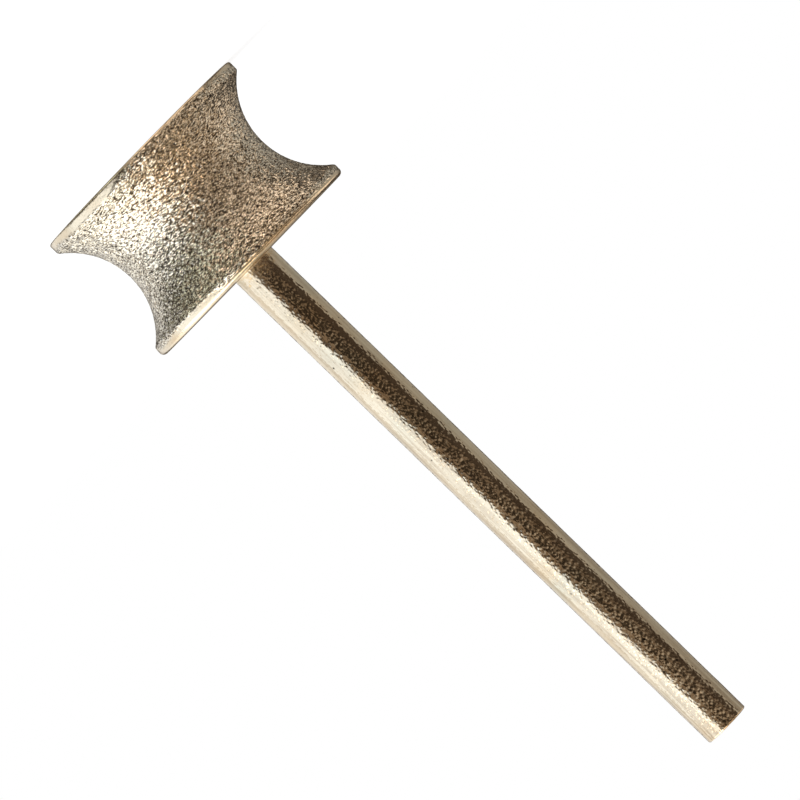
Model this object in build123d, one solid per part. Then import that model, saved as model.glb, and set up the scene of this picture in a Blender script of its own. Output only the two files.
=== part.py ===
# Diamond grinding head: a spool-shaped abrasive head pressed on a plain round shank.
#
# The head is turned from steel, with a round groove between two narrow rims. Nickel-bonded diamond grit covers
# the groove. It is part of the head and has no solid of its own, so the head's sizes are over the grit.
# The shank is a drawn pin. Its turned-down spigot is pressed into a drilled seat in the head's back, until the
# shoulder bears on the back face.
#
# The origin is the centre of the head's flat outer end, and +Z runs up the shank, away from the head.
# Lengths are in millimetres and angles in degrees.

from build123d import *

import os
from math import radians, sqrt, tan

# The head, over its plating
head_diameter = 15.2
waist_diameter = 11.2
groove_radius = 5.0  # of the rounded edge or bead that it grinds
rim_width = 0.7  # from the groove to the end face, at either end
rim_edge_round = 0.3  # where a rim meets its end face
groove_edge_round = 0.25  # where a rim meets the groove

# The shank, from the head's back face to its free end
shank_diameter = 3.0
shank_reach = 39.0
shank_end_break = 0.12  # chamfer at the free end

# The press fit, line to line
spigot_diameter = 2.5
spigot_length = 5.5
spigot_lead = 0.25  # chamfer that starts the spigot in its seat
seat_clearance = 0.0
seat_end_gap = 0.3  # from the spigot's end to the end of the seat's straight wall
seat_mouth_break = 0.15  # chamfer at the seat's mouth
drill_point_angle = 118.0

# Sizes that follow from the ones above
head_r = head_diameter / 2
groove_centre_r = waist_diameter / 2 + groove_radius
groove_half_width = sqrt(groove_radius**2 - (groove_centre_r - head_r) ** 2)
head_middle = groove_half_width + rim_width
head_length = 2 * head_middle
shank_r = shank_diameter / 2
shank_tip = head_length + shank_reach
spigot_r = spigot_diameter / 2
spigot_tip = head_length - spigot_length
seat_r = spigot_r + seat_clearance
seat_mouth_r = seat_r + seat_mouth_break
seat_bottom = spigot_tip - seat_end_gap
drill_point = seat_bottom - seat_r / tan(radians(drill_point_angle / 2))


def turned(outline):
    """The solid of revolution with this half-outline, a closed list of (radius, height) corners."""
    with BuildSketch(Plane.XZ) as half_section:
        with BuildLine():
            Polyline(*outline, close=True)
        make_face()
    return revolve(half_section.sketch, Axis.Z)


def spool():
    """The turned head before drilling: a plain blank less its round groove, with every edge rounded."""
    with BuildSketch(Plane.XZ) as half_section:
        with Locations((head_r / 2, head_middle)):
            Rectangle(head_r, head_length)
        with Locations((groove_centre_r, head_middle)):
            Circle(groove_radius, mode=Mode.SUBTRACT)
        rim_corners = half_section.vertices().group_by(Axis.X)[-1].sort_by(Axis.Y)
        fillet([rim_corners[0], rim_corners[-1]], radius=rim_edge_round)
        rim_corners = half_section.vertices().group_by(Axis.X)[-1].sort_by(Axis.Y)
        fillet(rim_corners[1:-1], radius=groove_edge_round)
    return revolve(half_section.sketch, Axis.Z)


def seat():
    """The drilled seat as a solid: drill point, straight wall and the broken edge at its mouth."""
    return turned(
        [
            (0, drill_point),
            (seat_r, seat_bottom),
            (seat_r, head_length - seat_mouth_break),
            (seat_mouth_r, head_length),
            (0, head_length),
        ]
    )


def head():
    """The grinding head: the spool with the seat drilled in its back."""
    return spool() - seat()


def shank():
    """The pin: a spigot with a lead, the shoulder that bears on the head, and a plain stem with a broken edge."""
    return turned(
        [
            (0, spigot_tip),
            (spigot_r - spigot_lead, spigot_tip),
            (spigot_r, spigot_tip + spigot_lead),
            (spigot_r, head_length),
            (shank_r, head_length),
            (shank_r, shank_tip - shank_end_break),
            (shank_r - shank_end_break, shank_tip),
            (0, shank_tip),
        ]
    )


os.makedirs("parts", exist_ok=True)
for node, solid in {"head": head(), "shank": shank()}.items():
    export_step(solid, f"parts/{node}.step")
    size = solid.bounding_box().size
    print(node, f"{solid.volume:.1f} mm3, {size.X:.2f} x {size.Y:.2f} x {size.Z:.2f} mm")
print(f"groove {2 * groove_half_width:.2f} mm wide, {drill_point:.2f} mm of metal under the seat")
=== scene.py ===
# A diamond grinding head on its shank, in the part's own frame.
# It stands on its outer end with the shank up: the axis of rotation is Z, and the outer end is at height 0.
# Lengths are in metres, but a lens, a sensor and the sizes given to a node group are in millimetres.

from math import acos, cos, pi, radians, sin, tau

import bpy
import numpy as np
from mathutils import Matrix, Quaternion, Vector, noise
from mathutils.kdtree import KDTree


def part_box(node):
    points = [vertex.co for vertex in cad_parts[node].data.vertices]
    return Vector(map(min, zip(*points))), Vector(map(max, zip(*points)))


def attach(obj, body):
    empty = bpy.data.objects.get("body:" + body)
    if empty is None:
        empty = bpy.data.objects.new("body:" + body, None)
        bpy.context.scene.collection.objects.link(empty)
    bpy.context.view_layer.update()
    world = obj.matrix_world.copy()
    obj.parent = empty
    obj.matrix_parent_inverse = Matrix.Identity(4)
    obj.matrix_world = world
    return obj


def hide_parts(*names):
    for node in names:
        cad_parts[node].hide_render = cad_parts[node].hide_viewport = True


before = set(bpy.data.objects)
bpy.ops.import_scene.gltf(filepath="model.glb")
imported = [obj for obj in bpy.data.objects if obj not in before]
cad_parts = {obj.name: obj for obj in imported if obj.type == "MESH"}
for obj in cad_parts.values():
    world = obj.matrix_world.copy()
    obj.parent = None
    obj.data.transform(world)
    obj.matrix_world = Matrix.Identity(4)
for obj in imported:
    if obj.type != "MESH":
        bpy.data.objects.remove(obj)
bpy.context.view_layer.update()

MM = 0.001
rng = np.random.default_rng(7)

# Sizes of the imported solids
HEAD_R = Vector(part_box("head")[1]).x
HEAD_LENGTH = Vector(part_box("head")[1]).z
SHANK_R = Vector(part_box("shank")[1]).x
SHANK_TIP = Vector(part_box("shank")[1]).z
SPIGOT_TIP = Vector(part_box("shank")[0]).z

# The spool over its grit, and the joint inside it
WAIST_R = 5.6 * MM
RIM_WIDTH = 0.7 * MM
OUTER_EDGE_ROUND = 0.14 * MM
SHANK_SIDE_ROUND = 0.3 * MM
SPIGOT_R = 1.25 * MM
SPIGOT_LEAD = 0.25 * MM
SEAT_MOUTH_BREAK = 0.15 * MM
SEAT_END_GAP = 0.3 * MM
DRILL_CONE = 0.75 * MM
SEAT_BOTTOM = SPIGOT_TIP - SEAT_END_GAP
DRILL_POINT = SEAT_BOTTOM - DRILL_CONE
SHANK_END_BREAK = 0.05 * MM
FACE_CENTRE_R = 0.4 * MM  # of the smallest ring on the outer end
TIP_CENTRE_R = 0.2 * MM  # of the smallest ring on the shank's free end

HEAD_MIDDLE = HEAD_LENGTH / 2
GROOVE_HALF = HEAD_MIDDLE - RIM_WIDTH
GROOVE_DEPTH = HEAD_R - WAIST_R
GROOVE_R = (GROOVE_HALF**2 + GROOVE_DEPTH**2) / (2 * GROOVE_DEPTH)
GROOVE_CENTRE_R = WAIST_R + GROOVE_R
GROOVE_SWEEP = acos((GROOVE_CENTRE_R - HEAD_R) / GROOVE_R)

# Diamond grains and the nickel that holds them
GRAIN_PITCH = 0.2 * MM
GRAIN_ROW_SPACING = 0.87  # in pitches
GRAIN_SCATTER_ALONG = 0.42  # in pitches, either way
GRAIN_SCATTER_AROUND = 0.4  # in pitches, either way
GRAIN_HALF_WIDTHS = (0.05 * MM, 0.085 * MM)
GRAIN_SINKS = (0.0, 0.02 * MM)
GRAIN_TILT = 0.25  # the steepest slope of a grain's top, each way
GRAIN_FLANK = 0.6  # the slope of its sides
GRAIN_CORNER_CUT = 0.75  # 0.5 leaves its corners square, and 1 cuts it to a diamond
GRAIN_STRETCH = 1.5  # longer around the head than along it
GRAINS_IN_REACH = 5
BOND_DEPTH = 0.04 * MM
BOND_WAVE = 0.012 * MM
GRIT_FADE = 0.3 * MM
GRIT_RAGGED = 0.1 * MM
GRIT_WANDER = 0.12 * MM
GRIT_SMOOTHS_SKIN = 0.7
OFF_THE_GROOVE = -MM  # the depth in the grit that points away from it are given
GROOVE_EDGE_SLOPE = 1.3  # length along the groove for each unit of height, near its edges
# How far the grit runs on to the rims, by the place across the head: it is worn off on the +X side
GRIT_PLACES = (-7.5 * MM, -5 * MM, 0, 1.8 * MM, 3.2 * MM, 5.6 * MM, 7 * MM)
GRIT_OVERLAPS = (0.65 * MM, 0.85 * MM, 1.0 * MM, 0.75 * MM, 0.22 * MM, 0.2 * MM, 0.55 * MM)

FACE_UPRIGHT = 0.99  # how nearly upright a normal is on a flat face, where 1 is fully so

# The shank's skin: how much rougher it is next to the head, and how soon that fades towards the free end
ROUGHER_AT_HEAD = 3
ROUGHNESS_FALL = 28
SHANK_DRAWN = (1, 1, 0.6)  # draws the pebbles out along the shank

# Mesh fineness: points around each piece, and the steps along its outline
HEAD_AROUND = 526
GROOVE_STEP = 0.075 * MM
EDGE_STEP = 0.06 * MM
FACE_STEP = 0.4 * MM
SHANK_AROUND = 152
SHANK_STEP = 0.063 * MM
SHANK_FACE_STEP = 0.2 * MM
SPIGOT_STEP = 8 * MM
ONE_STEP = MM  # longer than the line, which then gets its two ends only
EDGE_EASING = 3  # passes


# Turned surfaces

def arc(centre_r, centre_z, radius, start, end, step):
    """Points (radius, height) along an arc, from one angle to another."""
    count = max(3, round(abs(end - start) * radius / step) + 1)
    angles = np.linspace(start, end, count)
    return [(centre_r + radius * cos(a), centre_z + radius * sin(a)) for a in angles]


def line(start, end, step):
    """Points (radius, height) along a straight line."""
    start, end = np.array(start), np.array(end)
    count = max(2, round(float(np.linalg.norm(end - start)) / step) + 1)
    return [tuple(start + (end - start) * t) for t in np.linspace(0, 1, count)]


def joined(*stretches):
    """One profile from several stretches, each starting where the last one ends."""
    points = list(stretches[0])
    for stretch in stretches[1:]:
        points += list(stretch)[1:]
    return np.array(points)


def rings_of(profile, around):
    """A ring of points at each point of a profile, as an array (rows, around, 3), and outward normals."""
    angles = np.arange(around) * tau / around
    ring = np.stack([np.cos(angles), np.sin(angles)], axis=-1)
    along = np.gradient(profile, axis=0)
    along /= np.linalg.norm(along, axis=1, keepdims=True)
    outward = np.stack([along[:, 1], -along[:, 0]], axis=-1)
    points = np.empty((len(profile), around, 3))
    normals = np.empty_like(points)
    for target, source in ((points, profile), (normals, outward)):
        target[:, :, :2] = source[:, None, :1] * ring[None]
        target[:, :, 2] = source[:, None, 1]
    return points, normals


def turned_piece(name, rings, poles):
    """A smooth closed mesh through rings of points, capped at two poles at the given heights."""
    rows, around = rings.shape[:2]
    index = np.arange(rows * around).reshape(rows, around)
    lower, upper = index[:-1], index[1:]
    quads = np.stack([lower, np.roll(lower, -1, axis=1), np.roll(upper, -1, axis=1), upper], axis=-1)
    faces = quads.reshape(-1, 4).tolist()
    first, last = index[0].tolist(), index[-1].tolist()
    verts = rings.reshape(-1, 3).tolist() + [(0, 0, z) for z in poles]
    base, top = rows * around, rows * around + 1
    faces += [(base, b, a) for a, b in zip(first, first[1:] + first[:1])]
    faces += [(top, a, b) for a, b in zip(last, last[1:] + last[:1])]
    mesh = bpy.data.meshes.new(name)
    mesh.from_pydata(verts, [], faces)
    mesh.polygons.foreach_set("use_smooth", [True] * len(faces))
    mesh.update()
    piece = bpy.data.objects.new(name, mesh)
    bpy.context.scene.collection.objects.link(piece)
    return piece


def store(piece, name, values):
    """Keep a value for each point of a piece's mesh. Pole points get 0."""
    values = np.concatenate([np.ravel(values), np.zeros(len(piece.data.vertices) - values.size)])
    layer = piece.data.attributes.new(name, "FLOAT", "POINT")
    layer.data.foreach_set("value", values.astype(np.float32))


def ripple(points, size, seed):
    """Smooth noise from -1 to 1 over an array of points, with bumps of about the given size."""
    shift = Vector((seed * 11.3, seed * 5.7, seed * 3.1))
    flat = points.reshape(-1, 3) / size
    values = [noise.noise(Vector(p) + shift) for p in flat]
    return np.array(values).reshape(points.shape[:-1])


def bumps(points, height, size, below, seed):
    """Relief of bumps with a height and a size, their middle this many heights below the outline."""
    return height * (ripple(points, size, seed) - below)


# The pieces

def softened(profile, passes):
    """A profile with its corners eased, by averaging neighbours. Both ends stay."""
    for _ in range(passes):
        profile[1:-1] = (profile[:-2] + 2 * profile[1:-1] + profile[2:]) / 4
    return profile


def head_profile():
    """The head's outline from the middle of its outer end to the seat, and each point's depth in the grit."""
    outer, upper = OUTER_EDGE_ROUND, SHANK_SIDE_ROUND
    low, high = HEAD_MIDDLE - GROOVE_HALF, HEAD_MIDDLE + GROOVE_HALF
    mouth_r = SPIGOT_R + SEAT_MOUTH_BREAK
    mouth_bottom = HEAD_LENGTH - SEAT_MOUTH_BREAK
    outer_end = joined(
        line((FACE_CENTRE_R, 0), (HEAD_R - outer, 0), FACE_STEP),
        arc(HEAD_R - outer, outer, outer, -pi / 2, 0, EDGE_STEP),
    )
    sharp = joined(
        line((HEAD_R, outer), (HEAD_R, low), GROOVE_STEP),
        arc(GROOVE_CENTRE_R, HEAD_MIDDLE, GROOVE_R, pi + GROOVE_SWEEP, pi - GROOVE_SWEEP, GROOVE_STEP),
        line((HEAD_R, high), (HEAD_R, HEAD_LENGTH - upper), GROOVE_STEP),
    )
    working = softened(sharp, EDGE_EASING)
    shank_end = joined(
        arc(HEAD_R - upper, HEAD_LENGTH - upper, upper, 0, pi / 2, EDGE_STEP),
        line((HEAD_R - upper, HEAD_LENGTH), (mouth_r, HEAD_LENGTH), FACE_STEP),
        line((mouth_r, HEAD_LENGTH), (SPIGOT_R, mouth_bottom), ONE_STEP),
        line((SPIGOT_R, mouth_bottom), (SPIGOT_R, SEAT_BOTTOM), SPIGOT_STEP),
    )
    profile = joined(outer_end, working, shank_end)
    inside = np.full(len(profile), OFF_THE_GROOVE)
    groove = slice(len(outer_end), len(outer_end) + len(working) - 2)
    from_middle = np.abs(profile[groove, 1] - HEAD_MIDDLE)
    inside[groove] = (GROOVE_HALF - from_middle) * GROOVE_EDGE_SLOPE
    return profile, inside


def lengths_along(profile):
    """The distance along a profile to each of its points."""
    return np.concatenate([[0], np.cumsum(np.linalg.norm(np.diff(profile, axis=0), axis=1))])


def on_ring(radii, heights, turns):
    """Points at the given radii, heights and angles around the axis."""
    return np.stack([radii * np.cos(turns), radii * np.sin(turns), heights], axis=-1)


def grain_seeds(profile, lengths):
    """Places of the diamond grains, in uneven rows: distance along the profile, radius, height and turn."""
    along, turns = [], []
    for place in np.arange(0, lengths[-1], GRAIN_PITCH * GRAIN_ROW_SPACING):
        count = round(tau * np.interp(place, lengths, profile[:, 0]) / GRAIN_PITCH)
        along.append(place + rng.uniform(-GRAIN_SCATTER_ALONG, GRAIN_SCATTER_ALONG, count) * GRAIN_PITCH)
        uneven = rng.uniform(-GRAIN_SCATTER_AROUND, GRAIN_SCATTER_AROUND, count)
        turns.append((np.arange(count) + uneven + rng.uniform()) * tau / count)
    along = np.clip(np.concatenate(along), 0, lengths[-1])
    radii = np.interp(along, lengths, profile[:, 0])
    heights = np.interp(along, lengths, profile[:, 1])
    return along, radii, heights, np.concatenate(turns)


def grit_relief(points, profile):
    """How far each point lies under the grit's outline: tilted blocky grains over a level bond."""
    lengths = lengths_along(profile)
    seed_along, seed_r, seed_z, seed_turns = grain_seeds(profile, lengths)
    count = len(seed_along)
    widths = rng.uniform(*GRAIN_HALF_WIDTHS, count)
    sinks = rng.uniform(*GRAIN_SINKS, count)
    tilts = rng.uniform(-GRAIN_TILT, GRAIN_TILT, (count, 2))
    spins = rng.uniform(0, pi, count)

    tree = KDTree(count)
    for i, place in enumerate(on_ring(seed_r, seed_z, seed_turns)):
        tree.insert(place, i)
    tree.balance()
    flat = points.reshape(-1, 3)
    near = np.array([[found[1] for found in tree.find_n(p, GRAINS_IN_REACH)] for p in flat])

    rows, around = points.shape[:2]
    own_turns = np.tile(np.arange(around) * tau / around, rows)
    across = np.repeat(lengths, around)[:, None] - seed_along[near]
    turn = (own_turns[:, None] - seed_turns[near] + pi) % tau - pi
    aside = turn * np.repeat(profile[:, 0], around)[:, None]
    squeezed = aside / GRAIN_STRETCH
    spun_a = np.abs(across * np.cos(spins[near]) + squeezed * np.sin(spins[near]))
    spun_b = np.abs(squeezed * np.cos(spins[near]) - across * np.sin(spins[near]))
    reach = np.maximum(np.maximum(spun_a, spun_b), (spun_a + spun_b) * GRAIN_CORNER_CUT)
    tops = -sinks[near] + tilts[near, 0] * across + tilts[near, 1] * aside
    flanks = GRAIN_FLANK * np.maximum(0, reach - widths[near])
    grains = (tops - flanks).max(axis=1).reshape(rows, around)
    bond = -BOND_DEPTH + BOND_WAVE * ripple(points, 0.12 * MM, seed=3)
    return np.clip(np.maximum(grains, bond), None, 0)


def grit_cover(points, inside):
    """Where the grit is: 1 over the groove, thinning out unevenly to 0 on each rim."""
    ragged = GRIT_RAGGED * ripple(points, 0.3 * MM, seed=6)
    wandering = GRIT_WANDER * ripple(points, 2.4 * MM, seed=8)
    overlap = np.interp(points[..., 0], GRIT_PLACES, GRIT_OVERLAPS)
    cover = np.clip((inside[:, None] + overlap + ragged + wandering) / GRIT_FADE, 0, 1)
    return cover * cover * (3 - 2 * cover)


def grinding_head():
    """The plated head: grit over the groove, smooth plating on the rims and ends, a seat for the shank."""
    profile, inside = head_profile()
    rings, normals = rings_of(profile, HEAD_AROUND)
    cover = grit_cover(rings, inside)
    gritty = inside > OFF_THE_GROOVE
    relief = np.zeros(cover.shape)
    relief[gritty] = grit_relief(rings[gritty], profile[gritty])
    fine = bumps(rings, height=0.005 * MM, size=0.26 * MM, below=0.8, seed=1)
    broad = bumps(rings, height=0.006 * MM, size=0.8 * MM, below=0.8, seed=2)
    on_face = np.tile(np.abs(normals[:, :1, 2]) > FACE_UPRIGHT, (1, HEAD_AROUND))
    skin = np.where(on_face, 0, fine + broad) * (1 - GRIT_SMOOTHS_SKIN * cover)
    sunk = relief * cover + skin
    piece = turned_piece("grinding_head", rings + normals * sunk[..., None], poles=(0, DRILL_POINT))
    store(piece, "grain_height", np.clip(1 + relief / BOND_DEPTH, 0, 1))
    store(piece, "grit_cover", cover)
    store(piece, "turned_face", on_face)
    return piece


def plated_shank():
    """The drawn pin with its plated skin, pebbled next to the head and smoother towards its free end."""
    top = SHANK_TIP - SHANK_END_BREAK
    profile = joined(
        line((SPIGOT_R - SPIGOT_LEAD, SPIGOT_TIP), (SPIGOT_R, SPIGOT_TIP + SPIGOT_LEAD), ONE_STEP),
        line((SPIGOT_R, SPIGOT_TIP + SPIGOT_LEAD), (SPIGOT_R, HEAD_LENGTH), SPIGOT_STEP),
        line((SPIGOT_R, HEAD_LENGTH), (SHANK_R, HEAD_LENGTH), ONE_STEP),
        line((SHANK_R, HEAD_LENGTH), (SHANK_R, top), SHANK_STEP),
        line((SHANK_R, top), (SHANK_R - SHANK_END_BREAK, SHANK_TIP), EDGE_STEP),
        line((SHANK_R - SHANK_END_BREAK, SHANK_TIP), (TIP_CENTRE_R, SHANK_TIP), SHANK_FACE_STEP),
    )
    rings, normals = rings_of(profile, SHANK_AROUND)
    rise = np.clip((rings[..., 2] - HEAD_LENGTH) / (SHANK_TIP - HEAD_LENGTH), 0, 1)
    roughened = 1 + ROUGHER_AT_HEAD * np.exp(-rise * ROUGHNESS_FALL)
    drawn = rings * SHANK_DRAWN
    pebbles = roughened * bumps(drawn, height=0.005 * MM, size=0.15 * MM, below=0.6, seed=4)
    skin = pebbles + bumps(drawn, height=0.007 * MM, size=0.5 * MM, below=0.6, seed=5)
    rings = rings + normals * skin[..., None]
    piece = turned_piece("plated_shank", rings, poles=(SPIGOT_TIP, SHANK_TIP))
    store(piece, "rise", rise)
    return piece


# Shader helpers

def group(name, inputs, outputs):
    """A new shader node group with its sockets, and its input and output nodes."""
    tree = bpy.data.node_groups.new(name, "ShaderNodeTree")
    for socket_name, kind, default in inputs:
        socket = tree.interface.new_socket(socket_name, in_out="INPUT", socket_type=kind)
        socket.default_value = default
    for socket_name, kind in outputs:
        tree.interface.new_socket(socket_name, in_out="OUTPUT", socket_type=kind)
    return tree, tree.nodes.new("NodeGroupInput"), tree.nodes.new("NodeGroupOutput")


def add(tree, kind, settings=None, **inputs):
    """A node with its settings and inputs, each named, or numbered as in _0, and a value or a socket."""
    node = tree.nodes.new(kind)
    for key, value in (settings or {}).items():
        setattr(node, key, value)
    for key, value in inputs.items():
        socket = node.inputs[int(key[1:])] if key[0] == "_" else node.inputs[key.replace("_", " ")]
        if isinstance(value, bpy.types.NodeSocket):
            tree.links.new(value, socket)
        else:
            socket.default_value = value
    return node


def spread(tree, value, low, high, to_low=0.0, to_high=1.0):
    """A value taken from one range to another, and held at its ends."""
    ends = {"From_Min": low, "From_Max": high, "To_Min": to_low, "To_Max": to_high}
    return add(tree, "ShaderNodeMapRange", Value=value, **ends).outputs["Result"]


def maths(tree, operation, a, b):
    """The result of a sum on two values."""
    return add(tree, "ShaderNodeMath", {"operation": operation}, _0=a, _1=b).outputs["Value"]


def vector(tree, operation, a, b=None):
    """The result of a sum on one or two vectors."""
    inputs = {"_0": a} if b is None else {"_0": a, "_1": b}
    return add(tree, "ShaderNodeVectorMath", {"operation": operation}, **inputs).outputs["Vector"]


def blend(tree, factor, a, b):
    """Colour a, going over to colour b with the factor."""
    node = tree.nodes.new("ShaderNodeMix")
    node.data_type = "RGBA"
    for index, value in ((0, factor), (6, a), (7, b)):
        if isinstance(value, bpy.types.NodeSocket):
            tree.links.new(value, node.inputs[index])
        else:
            node.inputs[index].default_value = value if index == 0 else (*value, 1)
    return node.outputs[2]


def blend_value(tree, factor, a, b):
    """Value a, going over to value b with the factor."""
    node = add(tree, "ShaderNodeMix", {"data_type": "FLOAT"}, _0=factor, _2=a, _3=b)
    return node.outputs[0]


def noise_field(tree, place, scale, detail, rough=0.5):
    """Smooth noise from 0 to 1, with a scale in bumps to the metre."""
    node = add(tree, "ShaderNodeTexNoise", Vector=place, Scale=scale, Detail=detail, Roughness=rough)
    return node.outputs["Fac"]


def own_place(tree):
    """The place on the piece, in metres."""
    return add(tree, "ShaderNodeTexCoord").outputs["Object"]


def per_metre(tree, millimetres):
    """How many times a size in millimetres goes into a metre."""
    return maths(tree, "DIVIDE", 1000.0, millimetres)


def stored(tree, name):
    """A value that the piece's mesh keeps for each of its points."""
    return add(tree, "ShaderNodeAttribute", {"attribute_name": name}).outputs["Fac"]


# Finishes

GOLD = (0.79, 0.68, 0.51)
WARM_GOLD = (0.74, 0.55, 0.33)
GREEN_GREY = (0.55, 0.56, 0.46)
STAIN = (0.3, 0.2, 0.12)
# Near black: painted shade, in the gaps and hollows of the grit and in the shank's pits
CREVICE_SHADE = (0.024, 0.015, 0.009)
BOND = (0.5, 0.43, 0.33)
# Pale tops of the crystals: partly worn crystal, partly a painted highlight
PALE_CROWN_AND_HIGHLIGHT = (0.92, 0.86, 0.73)

# Noise scales, in bumps to the metre
STAIN_SCALE = 5200.0
STREAK_SCALE = 3800.0
PIT_SCALE = 700.0

# Depths of the finest relief, which is in the materials
CRYSTAL_DEPTH = 0.06 * MM
PEBBLE_DEPTH = 0.02 * MM

FACET_TILT = 0.48
BOND_SHARE = 0.75
# How far the grit's gaps go over to painted shade
GAP_SHADE_SHARE = 0.97


def plating_tint():
    """Colour of the plating: pale gold, with warmer and greyer patches, and fine dark stains by an amount."""
    tree, source, sink = group(
        "Plating tint",
        [("Patch size", "NodeSocketFloat", 3.0), ("Stain amount", "NodeSocketFloat", 0.2)],
        [("Color", "NodeSocketColor")],
    )
    place = own_place(tree)
    patch_scale = per_metre(tree, source.outputs["Patch size"])
    warm = spread(tree, noise_field(tree, place, patch_scale, 3.0), 0.5, 0.72)
    shifted = vector(tree, "ADD", place, (0.05, 0.02, 0.03))
    grey = spread(tree, noise_field(tree, shifted, patch_scale, 3.0), 0.5, 0.75)
    colour = blend(tree, maths(tree, "MULTIPLY", warm, 0.55), GOLD, WARM_GOLD)
    colour = blend(tree, maths(tree, "MULTIPLY", grey, 0.5), colour, GREEN_GREY)
    fine = spread(tree, noise_field(tree, place, STAIN_SCALE, 4.0, 0.65), 0.52, 0.72)
    stain = maths(tree, "MULTIPLY", fine, source.outputs["Stain amount"])
    tree.links.new(blend(tree, stain, colour, STAIN), sink.inputs["Color"])
    return tree


def plating_grain():
    """Height of the plating's fine grain, from a pebble size in millimetres."""
    tree, source, sink = group(
        "Plating grain",
        [("Pebble size", "NodeSocketFloat", 0.1)],
        [("Height", "NodeSocketFloat")],
    )
    place = vector(tree, "MULTIPLY", own_place(tree), (1.0, 1.0, 0.7))
    scale = per_metre(tree, source.outputs["Pebble size"])
    smoothed = {"feature": "SMOOTH_F1"}
    pebbles = add(tree, "ShaderNodeTexVoronoi", smoothed, Vector=place, Scale=scale, Smoothness=0.6)
    tree.links.new(maths(tree, "MULTIPLY", pebbles.outputs["Distance"], -1.0), sink.inputs["Height"])
    return tree


def turning_marks():
    """Height of the fine rings that a lathe tool leaves on a flat face."""
    tree, source, sink = group(
        "Turning marks",
        [("Ring spacing", "NodeSocketFloat", 0.15)],
        [("Height", "NodeSocketFloat")],
    )
    flat = vector(tree, "MULTIPLY", own_place(tree), (1.0, 1.0, 0.0))
    radius = add(tree, "ShaderNodeVectorMath", {"operation": "LENGTH"}, _0=flat).outputs["Value"]
    along = maths(tree, "MULTIPLY", radius, per_metre(tree, source.outputs["Ring spacing"]))
    rings = add(tree, "ShaderNodeTexNoise", {"noise_dimensions": "1D"}, W=along, Scale=1.0, Detail=2.0)
    tree.links.new(rings.outputs["Fac"], sink.inputs["Height"])
    return tree


def grit_crystals():
    """The finest grit, drawn out around the head: its height, its gaps, which the finish paints with shade,
    and its pale crowns, which it paints lighter, partly as a highlight.
    """
    tree, source, sink = group(
        "Grit crystals",
        [("Crystal size", "NodeSocketFloat", 0.1)],
        [("Height", "NodeSocketFloat"), ("Gap", "NodeSocketFloat"), ("Crown", "NodeSocketFloat")],
    )
    drawn_out = vector(tree, "MULTIPLY", own_place(tree), (0.55, 0.55, 1.25))
    height = noise_field(tree, drawn_out, per_metre(tree, source.outputs["Crystal size"]), 1.5)
    tree.links.new(height, sink.inputs["Height"])
    tree.links.new(spread(tree, height, 0.38, 0.43, 1.0, 0.0), sink.inputs["Gap"])
    tree.links.new(spread(tree, height, 0.49, 0.56, 0.0, 1.0), sink.inputs["Crown"])
    return tree


def crystal_facets():
    """Normals of small flat facets, each leaning its own way, from a facet size in millimetres."""
    tree, source, sink = group(
        "Crystal facets",
        [("Facet size", "NodeSocketFloat", 0.12), ("Tilt", "NodeSocketFloat", FACET_TILT)],
        [("Normal", "NodeSocketVector")],
    )
    drawn_out = vector(tree, "MULTIPLY", own_place(tree), (0.5, 0.5, 1.0))
    scale = per_metre(tree, source.outputs["Facet size"])
    cells = add(tree, "ShaderNodeTexVoronoi", Vector=drawn_out, Scale=scale)
    centred = vector(tree, "SUBTRACT", cells.outputs["Color"], (0.5, 0.5, 0.5))
    scaled = {"operation": "SCALE"}
    lean = add(tree, "ShaderNodeVectorMath", scaled, _0=centred, Scale=source.outputs["Tilt"])
    upright = add(tree, "ShaderNodeNewGeometry").outputs["Normal"]
    leaning = vector(tree, "ADD", upright, lean.outputs["Vector"])
    tree.links.new(vector(tree, "NORMALIZE", leaning), sink.inputs["Normal"])
    return tree


def new_finish(name):
    """An empty material and its node tree."""
    material = bpy.data.materials.new(name)
    material.use_nodes = True
    material.node_tree.nodes.clear()
    return material, material.node_tree


def place_group(tree, node_group, **inputs):
    """One of the node groups above, put to use with its inputs."""
    node = tree.nodes.new("ShaderNodeGroup")
    node.node_tree = node_group
    for key, value in inputs.items():
        node.inputs[key.replace("_", " ")].default_value = value
    return node


def close_metal(tree, colour, roughness, height, depth, facets=None):
    """The metal shader that ends a finish, with its finest relief and, where given, its facets."""
    bump = add(tree, "ShaderNodeBump", Height=height, Strength=1.0, Distance=depth)
    if facets:
        tree.links.new(facets, bump.inputs["Normal"])
    skin = {"Base_Color": colour, "Roughness": roughness, "Normal": bump.outputs["Normal"]}
    shader = add(tree, "ShaderNodeBsdfPrincipled", Metallic=1.0, **skin)
    out = tree.nodes.new("ShaderNodeOutputMaterial")
    tree.links.new(shader.outputs["BSDF"], out.inputs["Surface"])


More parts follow.
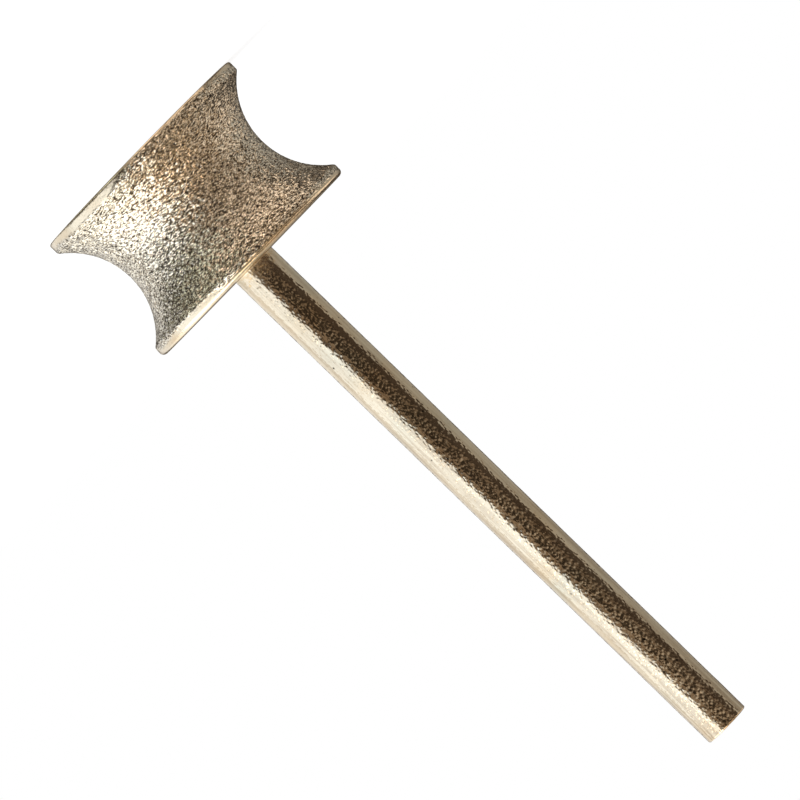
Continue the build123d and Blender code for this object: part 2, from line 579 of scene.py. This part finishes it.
def head_finish(tint_group, grain_group, crystal_group, facet_group, mark_group):
    """Diamond grit with pale worn crystals, their tops partly a painted highlight, and painted shade in the
    gaps and hollows between them, thinning out into smooth plating.
    """
    material, tree = new_finish("Diamond plating")
    tint = place_group(tree, tint_group, Patch_size=3.2, Stain_amount=0.2)
    grain = place_group(tree, grain_group, Pebble_size=0.12)
    crystals = place_group(tree, crystal_group, Crystal_size=0.1)
    marks = place_group(tree, mark_group, Ring_spacing=0.15)
    facets = place_group(tree, facet_group, Facet_size=0.12)
    cover = stored(tree, "grit_cover")
    tree.links.new(maths(tree, "MULTIPLY", cover, FACET_TILT), facets.inputs["Tilt"])

    # The grit's high points are painted paler: partly worn crystal, partly a painted highlight on their tops
    crown_and_highlight = maths(tree, "MULTIPLY", crystals.outputs["Crown"], cover)
    gap_shade = maths(tree, "MULTIPLY", maths(tree, "MULTIPLY", crystals.outputs["Gap"], cover), GAP_SHADE_SHARE)
    # Painted shade: darker where the grains' stored relief is low, in the hollows between them
    shade_between_grains = spread(tree, stored(tree, "grain_height"), 0.0, 0.5, 0.4, 0.0)
    hollow_shade = maths(tree, "MULTIPLY", shade_between_grains, cover)
    ground = blend(tree, maths(tree, "MULTIPLY", cover, BOND_SHARE), tint.outputs["Color"], BOND)
    ground = blend(tree, hollow_shade, ground, CREVICE_SHADE)
    colour = blend(tree, gap_shade, blend(tree, crown_and_highlight, ground, PALE_CROWN_AND_HIGHLIGHT), CREVICE_SHADE)
    roughness = blend_value(tree, cover, 0.2, spread(tree, gap_shade, 0.0, 1.0, 0.14, 0.3))

    face = stored(tree, "turned_face")
    smooth = blend_value(tree, face, grain.outputs["Height"], marks.outputs["Height"])
    height = blend_value(tree, cover, maths(tree, "MULTIPLY", smooth, 0.15), crystals.outputs["Height"])
    close_metal(tree, colour, roughness, height, CRYSTAL_DEPTH, facets.outputs["Normal"])
    return material


def shank_finish(tint_group, grain_group):
    """Shiny plating of the shank, with brown streaks along it that gain towards the free end."""
    material, tree = new_finish("Shank plating")
    tint = place_group(tree, tint_group, Patch_size=4.0, Stain_amount=0.25)
    grain = place_group(tree, grain_group, Pebble_size=0.16)
    place = own_place(tree)
    rise = stored(tree, "rise")
    stretched = vector(tree, "MULTIPLY", place, (1, 1, 0.035))
    streak = spread(tree, noise_field(tree, stretched, STREAK_SCALE, 3.0), 0.42, 0.62)
    amount = maths(tree, "MULTIPLY", streak, spread(tree, rise, 0.1, 1.0, 0.25, 0.55))
    # Painted shade: small near-black dots standing for the shade inside pits in the plating
    pit_cells = add(tree, "ShaderNodeTexVoronoi", Vector=place, Scale=PIT_SCALE)
    pit_shade = spread(tree, pit_cells.outputs["Distance"], 0.03, 0.07, 1.0, 0.0)
    colour = blend(tree, pit_shade, blend(tree, amount, tint.outputs["Color"], STAIN), CREVICE_SHADE)
    in_streaks = spread(tree, amount, 0.0, 0.5, 0.06, 0.16)
    near_head = spread(tree, rise, 0.0, 0.06, 0.1, 0.0)
    roughness = maths(tree, "ADD", in_streaks, near_head)
    close_metal(tree, colour, roughness, grain.outputs["Height"], PEBBLE_DEPTH)
    return material


# Studio

CAMERA_SPOT = Vector((-0.294 * MM, -0.5, 12 * MM))
CAMERA_LENS = 381.4
SENSOR = 36.0
AIM = Vector((-0.294 * MM, 0, 21.165 * MM))
SHANK_ON_IMAGE = (0.7174, -0.6967)  # the way that the shank points, right and up

SOFTBOX_DIRECTION = Vector((0.74, -0.299, 0.602)).normalized()
SOFTBOX_DISTANCE = 0.7
SOFTBOX_SIZE = (0.8, 0.72)
SOFTBOX_ROLL = radians(12)
SOFTBOX_RADIANCE = 1.29  # the brightness that it shows in a reflection
SOFTBOX_COLOUR = (0.92, 0.95, 1.0)
LIT_POINT = Vector((0, 0, 0.02))

WORLD_GREY = 0.6
FLOOR_HALF = 3.0
FLOOR_GREY = 0.5
FLOOR_LIFT = 0.72  # added to what the camera sees of the floor, so that it shows white


def studio_camera():
    """A long lens nearly square to the shank, rolled so that the shank runs down to the right."""
    back = (CAMERA_SPOT - AIM).normalized()
    aside = Vector((1, 0, 0))
    along = back.cross(aside)
    rightward, upward = SHANK_ON_IMAGE
    right = along * rightward + aside * upward
    up = back.cross(right)
    data = bpy.data.cameras.new("camera")
    data.sensor_width = SENSOR
    data.lens = CAMERA_LENS
    data.clip_start = 0.01
    data.clip_end = 20
    camera = bpy.data.objects.new("camera", data)
    turned = Matrix((right, up, back)).transposed().to_4x4()
    camera.matrix_world = Matrix.Translation(CAMERA_SPOT) @ turned
    bpy.context.scene.collection.objects.link(camera)
    bpy.context.scene.camera = camera


def studio_softbox():
    """The one lamp: a softbox high up on the +X side, facing the part and rolled a little."""
    width, height = SOFTBOX_SIZE
    data = bpy.data.lights.new("softbox", "AREA")
    data.shape = "RECTANGLE"
    data.size = width
    data.size_y = height
    data.energy = SOFTBOX_RADIANCE * pi * width * height
    data.color = SOFTBOX_COLOUR
    lamp = bpy.data.objects.new("softbox", data)
    lamp.location = LIT_POINT + SOFTBOX_DIRECTION * SOFTBOX_DISTANCE
    facing = SOFTBOX_DIRECTION.to_track_quat("Z", "Y") @ Quaternion((0, 0, 1), SOFTBOX_ROLL)
    lamp.rotation_euler = facing.to_euler()
    bpy.context.scene.collection.objects.link(lamp)


# What the part reflects: patches on a tent around it. Each one has its middle, its half size and the softness
# of its edges, in degrees of azimuth and elevation, its shade, and how uneven the clutter makes it.
# Azimuth 0 is the camera's side and 90 is +X.
TENT_RADIUS = 1.0
TENT_COLUMNS = 180
TENT_ROWS = 90
TENT_TOP = 89.9  # the elevation of its last row of points, just short of straight up
TENT_SHADE = (0.6, 0.515, 0.425)
TENT_PATCHES = [
    ("low_right", (100, -60), (95, 42), 14, (0.09, 0.094, 0.082), 3.2),
    ("low_left", (-50, -62), (75, 28), 10, (0.22, 0.182, 0.15), 2.8),
    ("low_shade", (-75, -30), (75, 12), 6, (0.122, 0.098, 0.077), 2.8),
    ("high_front", (-20, 45), (60, 21), 10, (0.38, 0.272, 0.175), 2.3),
    ("high_left", (-115, 34), (55, 16), 8, (0.08, 0.067, 0.055), 2.9),
    ("far_left", (-140, 0), (55, 14), 6, (0.4, 0.38, 0.34), 0.0),
    ("glow", (95, 42), (75, 26), 14, (1.4, 1.4, 1.35), 0.0),
    ("below_lamp", (62, -24), (78, 18), 8, (0.055, 0.047, 0.04), 0.0),
    ("lamp_side", (90, 3), (18, 13), 5, (1.28, 1.34, 1.42), 0.0),
    ("lamp_foot", (64, 0), (41, 7), 2, (1.29, 1.38, 1.5), 0.0),
    ("room", (-24, -2), (57, 14), 5, (0.085, 0.062, 0.043), 1.2),
    ("dark_corner", (-62, -2), (14, 14), 12, (0.07, 0.05, 0.036), 0.0),
    ("behind", (184, -12), (20, 34), 4, (0.08, 0.065, 0.05), 0.0),
    ("floor_behind", (180, -60), (42, 20), 8, (0.25, 0.21, 0.17), 0.0),
]
CLUTTER_SIZE = 0.3
CLUTTER_STEEPNESS = 4
TENT_OPENING = ((133, 0), (29, 27), 4)  # through it the part reflects the white backdrop


def tent_mask(azimuths, elevations, middle, half, softness):
    """1 inside a patch of the tent and 0 outside it, with a soft edge."""
    aside = np.abs((azimuths - middle[0] + 180) % 360 - 180) - half[0]
    above = np.abs(elevations - middle[1]) - half[1]
    return np.clip(0.5 - np.maximum(aside, above) / (2 * softness), 0, 1)


def studio_tent():
    """A tent around the part that only reflections see, shaded in soft patches, with an opening."""
    across = np.linspace(-180, 180, TENT_COLUMNS + 1)
    azimuths, elevations = np.meshgrid(across, np.linspace(-TENT_TOP, TENT_TOP, TENT_ROWS + 1))
    turns, rises = np.radians(azimuths), np.radians(elevations)
    flat = np.cos(rises)
    verts = TENT_RADIUS * np.stack([np.sin(turns) * flat, -np.cos(turns) * flat, np.sin(rises)], axis=-1)
    verts[..., 2] += HEAD_LENGTH
    index = np.arange(azimuths.size).reshape(azimuths.shape)
    corners = [index[:-1, :-1], index[:-1, 1:], index[1:, 1:], index[1:, :-1]]
    quads = np.stack(corners, axis=-1).reshape(-1, 4)
    shades = np.full(azimuths.shape + (4,), 1.0)
    shades[..., :3] = TENT_SHADE
    clutter = np.tanh(CLUTTER_STEEPNESS * ripple(verts, CLUTTER_SIZE, seed=9))
    for _, middle, half, softness, shade, uneven in TENT_PATCHES:
        mask = tent_mask(azimuths, elevations, middle, half, softness)[..., None]
        patch = np.array(shade) * np.exp(uneven * clutter)[..., None]
        shades[..., :3] += mask * (patch - shades[..., :3])
    shades[..., 3] = 1 - tent_mask(azimuths, elevations, *TENT_OPENING)

    mesh = bpy.data.meshes.new("studio_tent")
    mesh.from_pydata(verts.reshape(-1, 3).tolist(), [], quads.tolist())
    layer = mesh.attributes.new("shade", "FLOAT_COLOR", "POINT")
    layer.data.foreach_set("color", shades.ravel().astype(np.float32))
    tent = bpy.data.objects.new("studio_tent", mesh)
    bpy.context.scene.collection.objects.link(tent)

    material, tree = new_finish("Studio tent")
    material.cycles.emission_sampling = "NONE"
    shade = add(tree, "ShaderNodeAttribute", {"attribute_name": "shade"})
    glow = add(tree, "ShaderNodeEmission", Color=shade.outputs["Color"], Strength=1.0)
    clear = tree.nodes.new("ShaderNodeBsdfTransparent")
    ends = {"_1": clear.outputs["BSDF"], "_2": glow.outputs["Emission"]}
    mixed = add(tree, "ShaderNodeMixShader", Fac=shade.outputs["Alpha"], **ends)
    out = tree.nodes.new("ShaderNodeOutputMaterial")
    tree.links.new(mixed.outputs["Shader"], out.inputs["Surface"])
    mesh.materials.append(material)
    for ray in ("camera", "diffuse", "shadow", "transmission", "volume_scatter"):
        setattr(tent, f"visible_{ray}", False)


def background_rays(tree):
    """1 for the rays that see the plain white studio: from the camera, a reflection or a clear body."""
    path = tree.nodes.new("ShaderNodeLightPath")
    seen = maths(tree, "MAXIMUM", path.outputs["Is Camera Ray"], path.outputs["Is Glossy Ray"])
    return maths(tree, "MAXIMUM", seen, path.outputs["Is Transmission Ray"])


def studio_world():
    """A white backdrop, which lights the part with a softer grey."""
    world = bpy.data.worlds.new("studio")
    bpy.context.scene.world = world
    world.use_nodes = True
    tree = world.node_tree
    tree.nodes.clear()
    shade = blend(tree, background_rays(tree), (WORLD_GREY, WORLD_GREY, WORLD_GREY), (1, 1, 1))
    sky = add(tree, "ShaderNodeBackground", Color=shade, Strength=1.0)
    out = tree.nodes.new("ShaderNodeOutputWorld")
    tree.links.new(sky.outputs["Background"], out.inputs["Surface"])


def studio_floor():
    """A pale floor at the outer end's height: white, less the part's soft shadow, and clear from below."""
    corners = [(x * FLOOR_HALF, y * FLOOR_HALF, 0) for x, y in ((-1, -1), (1, -1), (1, 1), (-1, 1))]
    mesh = bpy.data.meshes.new("floor")
    mesh.from_pydata(corners, [], [(0, 1, 2, 3)])
    floor = bpy.data.objects.new("floor", mesh)
    bpy.context.scene.collection.objects.link(floor)
    material, tree = new_finish("Pale floor")
    matt = add(tree, "ShaderNodeBsdfDiffuse", Color=(FLOOR_GREY, FLOOR_GREY, FLOOR_GREY, 1))
    path = tree.nodes.new("ShaderNodeLightPath")
    lift = maths(tree, "MULTIPLY", path.outputs["Is Camera Ray"], FLOOR_LIFT)
    glow = add(tree, "ShaderNodeEmission", Strength=lift)
    both = add(tree, "ShaderNodeAddShader", _0=matt.outputs["BSDF"], _1=glow.outputs["Emission"])
    under = tree.nodes.new("ShaderNodeNewGeometry").outputs["Backfacing"]
    clear = tree.nodes.new("ShaderNodeBsdfTransparent")
    ends = {"_1": both.outputs["Shader"], "_2": clear.outputs["BSDF"]}
    shown = add(tree, "ShaderNodeMixShader", Fac=under, **ends)
    out = tree.nodes.new("ShaderNodeOutputMaterial")
    tree.links.new(shown.outputs["Shader"], out.inputs["Surface"])
    mesh.materials.append(material)
    floor.visible_glossy = False
    floor.visible_shadow = False


# Assembly

tint_group = plating_tint()
grain_group = plating_grain()
mark_group = turning_marks()
crystal_group = grit_crystals()
facet_group = crystal_facets()

head = grinding_head()
head.data.materials.append(head_finish(tint_group, grain_group, crystal_group, facet_group, mark_group))
shank = plated_shank()
shank.data.materials.append(shank_finish(tint_group, grain_group))

for piece, node, slot in ((head, "head", "diamond_plating"), (shank, "shank", "plated_shank")):
    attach(piece, "root")
    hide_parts(node)

studio_camera()
studio_world()
studio_floor()
studio_tent()
studio_softbox()

bpy.context.scene.view_settings.view_transform = "Standard"
